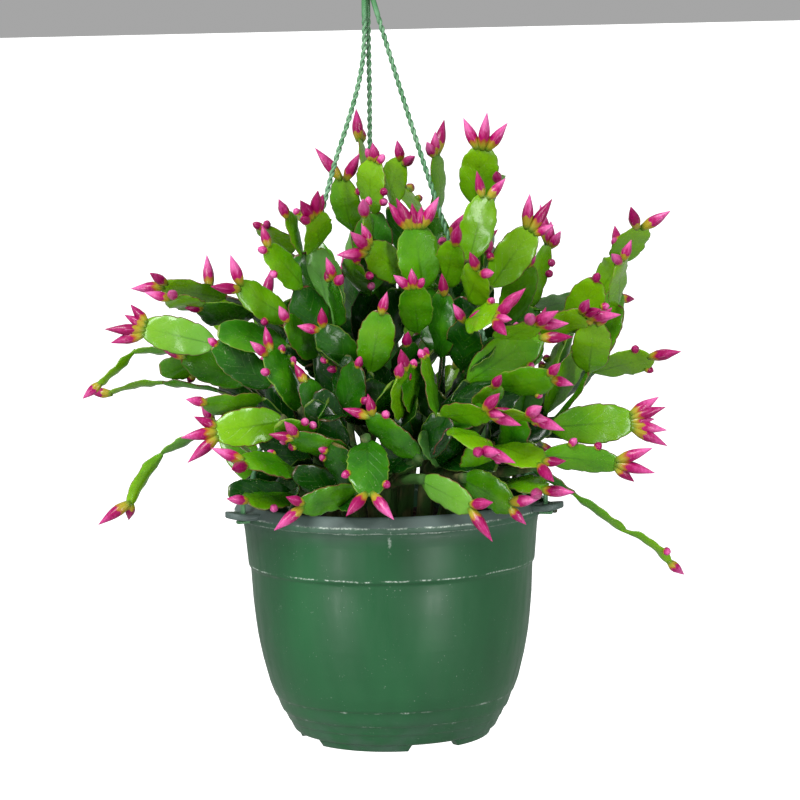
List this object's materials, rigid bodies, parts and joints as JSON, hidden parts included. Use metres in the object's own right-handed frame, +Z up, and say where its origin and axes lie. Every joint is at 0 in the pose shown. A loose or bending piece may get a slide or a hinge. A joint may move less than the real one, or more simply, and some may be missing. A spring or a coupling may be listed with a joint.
{
  "type": "hanging basket plant",
  "caption": "Holiday cactus in bud in a round nursery pot, on a plastic hanger with a hook on top.",
  "frame": {"origin": "the point inside the top of the hook that bears on what holds the basket", "axes": "+Z up, -Y towards the front of the plant, +X to its right as seen from the front"},
  "size_m": [0.3865, 0.3254, 0.5484],
  "materials": {
    "pot_plastic": "satin, dusty, with chalk marks",
    "potting_mix": "matte",
    "hook_plastic": "satin",
    "arm_plastic": "satin",
    "plant": "waxy"
  },
  "bodies": {
    "root": {"pot": "pot_plastic", "soil": "potting_mix", "hanger_hook": "hook_plastic", "hanger_arm_left": "arm_plastic", "hanger_arm_right": "arm_plastic", "hanger_arm_back": "arm_plastic", "leafy_stem_01": "plant", "leafy_stem_02": "plant", "leafy_stem_03": "plant", "leafy_stem_04": "plant", "leafy_stem_05": "plant", "leafy_stem_06": "plant", "leafy_stem_07": "plant", "leafy_stem_08": "plant", "leafy_stem_09": "plant", "leafy_stem_10": "plant", "leafy_stem_11": "plant", "leafy_stem_12": "plant", "leafy_stem_13": "plant", "leafy_stem_14": "plant"}
  },
  "joints": []
}
